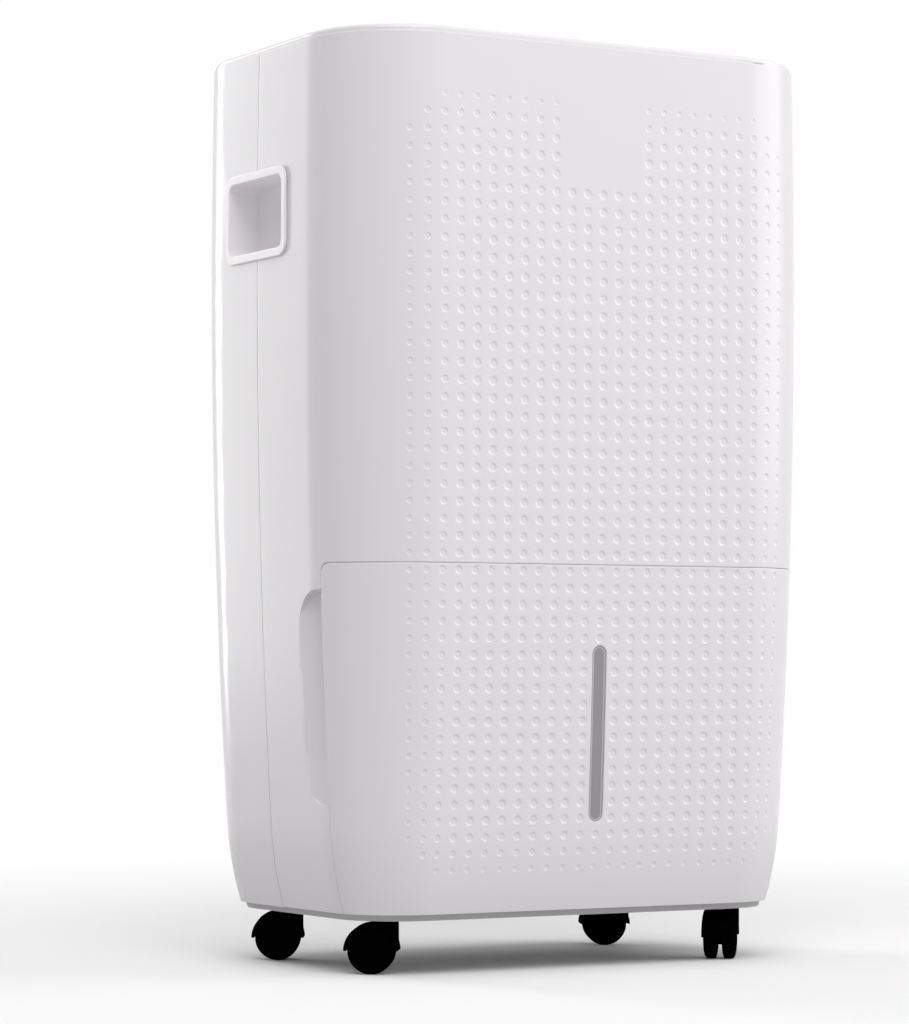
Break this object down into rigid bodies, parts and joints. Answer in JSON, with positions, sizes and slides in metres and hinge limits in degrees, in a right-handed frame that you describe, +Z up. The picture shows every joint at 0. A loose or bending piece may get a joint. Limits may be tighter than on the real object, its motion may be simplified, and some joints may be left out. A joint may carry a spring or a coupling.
{
  "type": "dehumidifier",
  "caption": "Upright glossy white compressor dehumidifier with rounded housing, side hand pockets, pull-out front water tank with window, rear filter, top controls and swivel casters.",
  "frame": {"origin": "on the floor under the middle of the housing", "axes": "+Z up; the front with the tank window faces -Y; +X is to the right of a person facing the front"},
  "size_m": [0.3778, 0.26, 0.6168],
  "materials": {
    "white_plastic": "glossy off-white moulding",
    "grey_plastic": "matt light grey moulding",
    "bucket_plastic": "smooth milky moulding",
    "window_plastic": "smooth smoky grey insert",
    "panel_plastic": "glossy dark panel",
    "lens_plastic": "glossy black lens",
    "circuit_board": "green laminate",
    "black_plastic": "matt black moulding",
    "caster_black": "black nylon with a low sheen",
    "can_metal": "drawn can",
    "coil_alloy": "bare fins",
    "pipe_copper": "drawn copper tube",
    "compressor_paint": "black enamel",
    "motor_metal": "grey enamel",
    "black_rubber": "moulded rubber",
    "steel": "zinc plated"
  },
  "bodies": {
    "cabinet": {"base_pan": "grey_plastic", "chassis": "grey_plastic", "front_shell": "white_plastic", "rear_shell": "white_plastic", "top_cover": "white_plastic", "outlet_grille": "white_plastic", "control_panel": "panel_plastic", "display_lens": "lens_plastic", "control_box": "grey_plastic", "control_board": "circuit_board", "handle_left": "white_plastic", "handle_right": "white_plastic", "evaporator": "coil_alloy", "condenser": "coil_alloy", "drip_tray": "grey_plastic", "fan_scroll": "grey_plastic", "scroll_cover": "grey_plastic", "fan_motor": "motor_metal", "compressor": "compressor_paint", "compressor_feet": "black_rubber", "accumulator": "compressor_paint", "refrigerant_pipes": "pipe_copper", "capacitor": "can_metal", "humidity_sensor": "circuit_board", "tank_sensor": "black_plastic", "cord_gland": "black_rubber", "drain_port": "grey_plastic", "rear_screws": "steel"},
    "fan": {"fan_wheel": "grey_plastic", "fan_shaft": "steel"},
    "filter": {"filter_frame": "white_plastic", "filter_mesh": "grey_plastic"},
    "cap": {"drain_cap": "white_plastic"},
    "tank": {"tank_front": "white_plastic", "tank_bucket": "bucket_plastic", "tank_window": "window_plastic", "tank_lid": "grey_plastic"},
    "float": {"float_arm": "grey_plastic"},
    "key_power": {"button_power": "white_plastic"},
    "key_mode": {"button_mode": "white_plastic"},
    "key_fan": {"button_fan": "white_plastic"},
    "key_up": {"button_up": "white_plastic"},
    "key_down": {"button_down": "white_plastic"},
    "caster_fl": {"yoke_fl": "caster_black", "axle_fl": "steel"},
    "outer_fl": {"wheel_fl_outer": "caster_black"},
    "inner_fl": {"wheel_fl_inner": "caster_black"},
    "caster_fr": {"yoke_fr": "caster_black", "axle_fr": "steel"},
    "outer_fr": {"wheel_fr_outer": "caster_black"},
    "inner_fr": {"wheel_fr_inner": "caster_black"},
    "caster_rl": {"yoke_rl": "caster_black", "axle_rl": "steel"},
    "outer_rl": {"wheel_rl_outer": "caster_black"},
    "inner_rl": {"wheel_rl_inner": "caster_black"},
    "caster_rr": {"yoke_rr": "caster_black", "axle_rr": "steel"},
    "outer_rr": {"wheel_rr_outer": "caster_black"},
    "inner_rr": {"wheel_rr_inner": "caster_black"}
  },
  "joints": [
    {"name": "fan_spin", "type": "hinge", "parent": "cabinet", "child": "fan", "pos_m": [-0.014, 0, 0.432], "axis": [0, 1, 0], "continuous": true},
    {"name": "filter_slide", "type": "slide", "parent": "cabinet", "child": "filter", "axis": [0, 1, 0], "range_m": [0, 0.06]},
    {"name": "cap_pull", "type": "slide", "parent": "cabinet", "child": "cap", "axis": [0, 1, 0], "range_m": [0, 0.03]},
    {"name": "tank_slide", "type": "slide", "parent": "cabinet", "child": "tank", "axis": [0, -1, 0], "range_m": [0, 0.2]},
    {"name": "float_swing", "type": "hinge", "parent": "tank", "child": "float", "pos_m": [0.06, -0.03, 0.239], "axis": [1, 0, 0], "range_deg": [-8, 0]},
    {"name": "press_power", "type": "slide", "parent": "cabinet", "child": "key_power", "axis": [0, 0, -1], "range_m": [0, 0.001], "stiffness_N_per_m": 400, "springref_m": -0.0005},
    {"name": "press_mode", "type": "slide", "parent": "cabinet", "child": "key_mode", "axis": [0, 0, -1], "range_m": [0, 0.001], "stiffness_N_per_m": 400, "springref_m": -0.0005},
    {"name": "press_fan", "type": "slide", "parent": "cabinet", "child": "key_fan", "axis": [0, 0, -1], "range_m": [0, 0.001], "stiffness_N_per_m": 400, "springref_m": -0.0005},
    {"name": "press_up", "type": "slide", "parent": "cabinet", "child": "key_up", "axis": [0, 0, -1], "range_m": [0, 0.001], "stiffness_N_per_m": 400, "springref_m": -0.0005},
    {"name": "press_down", "type": "slide", "parent": "cabinet", "child": "key_down", "axis": [0, 0, -1], "range_m": [0, 0.001], "stiffness_N_per_m": 400, "springref_m": -0.0005},
    {"name": "swivel_fl", "type": "hinge", "parent": "cabinet", "child": "caster_fl", "pos_m": [-0.133, -0.074, 0.036], "axis": [0, 0, 1], "continuous": true},
    {"name": "roll_outer_fl", "type": "hinge", "parent": "caster_fl", "child": "outer_fl", "pos_m": [-0.14129, -0.06841, 0.0155], "axis": [-0.5592, -0.829, 0], "continuous": true},
    {"name": "roll_inner_fl", "type": "hinge", "parent": "caster_fl", "child": "inner_fl", "pos_m": [-0.14129, -0.06841, 0.0155], "axis": [-0.5592, -0.829, 0], "continuous": true},
    {"name": "swivel_fr", "type": "hinge", "parent": "cabinet", "child": "caster_fr", "pos_m": [0.133, -0.074, 0.036], "axis": [0, 0, 1], "continuous": true},
    {"name": "roll_outer_fr", "type": "hinge", "parent": "caster_fr", "child": "outer_fr", "pos_m": [0.12631, -0.08143, 0.0155], "axis": [0.7431, -0.6691, 0], "continuous": true},
    {"name": "roll_inner_fr", "type": "hinge", "parent": "caster_fr", "child": "inner_fr", "pos_m": [0.12631, -0.08143, 0.0155], "axis": [0.7431, -0.6691, 0], "continuous": true},
    {"name": "swivel_rl", "type": "hinge", "parent": "cabinet", "child": "caster_rl", "pos_m": [-0.133, 0.06, 0.036], "axis": [0, 0, 1], "continuous": true},
    {"name": "roll_outer_rl", "type": "hinge", "parent": "caster_rl", "child": "outer_rl", "pos_m": [-0.14166, 0.065, 0.0155], "axis": [-0.5, -0.866, 0], "continuous": true},
    {"name": "roll_inner_rl", "type": "hinge", "parent": "caster_rl", "child": "inner_rl", "pos_m": [-0.14166, 0.065, 0.0155], "axis": [-0.5, -0.866, 0], "continuous": true},
    {"name": "swivel_rr", "type": "hinge", "parent": "cabinet", "child": "caster_rr", "pos_m": [0.133, 0.06, 0.036], "axis": [0, 0, 1], "continuous": true},
    {"name": "roll_outer_rr", "type": "hinge", "parent": "caster_rr", "child": "outer_rr", "pos_m": [0.12417, 0.0647, 0.0155], "axis": [-0.4695, -0.8829, 0], "continuous": true},
    {"name": "roll_inner_rr", "type": "hinge", "parent": "caster_rr", "child": "inner_rr", "pos_m": [0.12417, 0.0647, 0.0155], "axis": [-0.4695, -0.8829, 0], "continuous": true}
  ]
}
